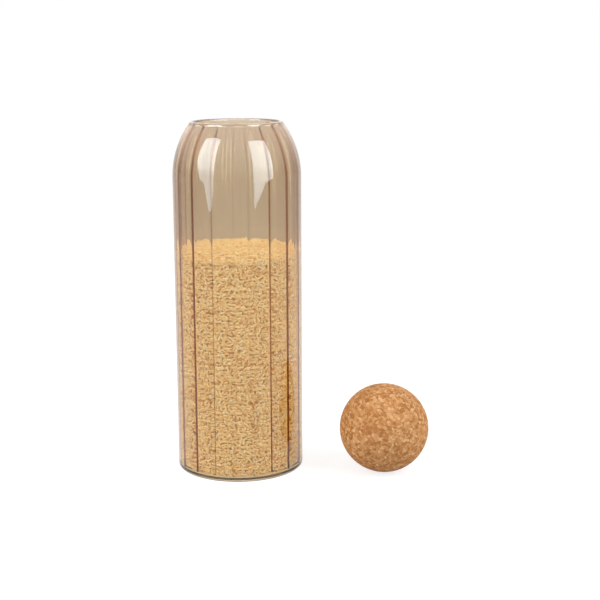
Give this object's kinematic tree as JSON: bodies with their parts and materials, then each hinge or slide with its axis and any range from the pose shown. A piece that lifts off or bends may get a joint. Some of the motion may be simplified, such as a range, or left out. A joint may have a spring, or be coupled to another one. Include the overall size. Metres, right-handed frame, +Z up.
{
  "type": "glass storage jar with cork ball lid",
  "caption": "Tall tinted glass storage jar with ribs inside the wall, part filled with brown rice, and a cork ball lid lying beside it.",
  "frame": {"origin": "centre of the jar's flat bottom, on the surface that the jar and the ball stand on", "axes": "+Z up along the jar's axis, +X from the jar to the cork ball where it lies"},
  "size_m": [0.2012, 0.1, 0.275],
  "materials": {
    "tinted_glass": "gloss",
    "brown_rice": "matte",
    "cork": "matte"
  },
  "bodies": {
    "jar": {"jar_glass": "tinted_glass", "rice": "brown_rice"},
    "lid": {"cork_ball": "cork"}
  },
  "joints": [
    {"name": "lid_swing", "type": "hinge", "parent": "jar", "child": "lid", "pos_m": [0.1162, 0, 0.18981], "axis": [0, -1, 0], "range_deg": [0, 228.6]}
  ]
}
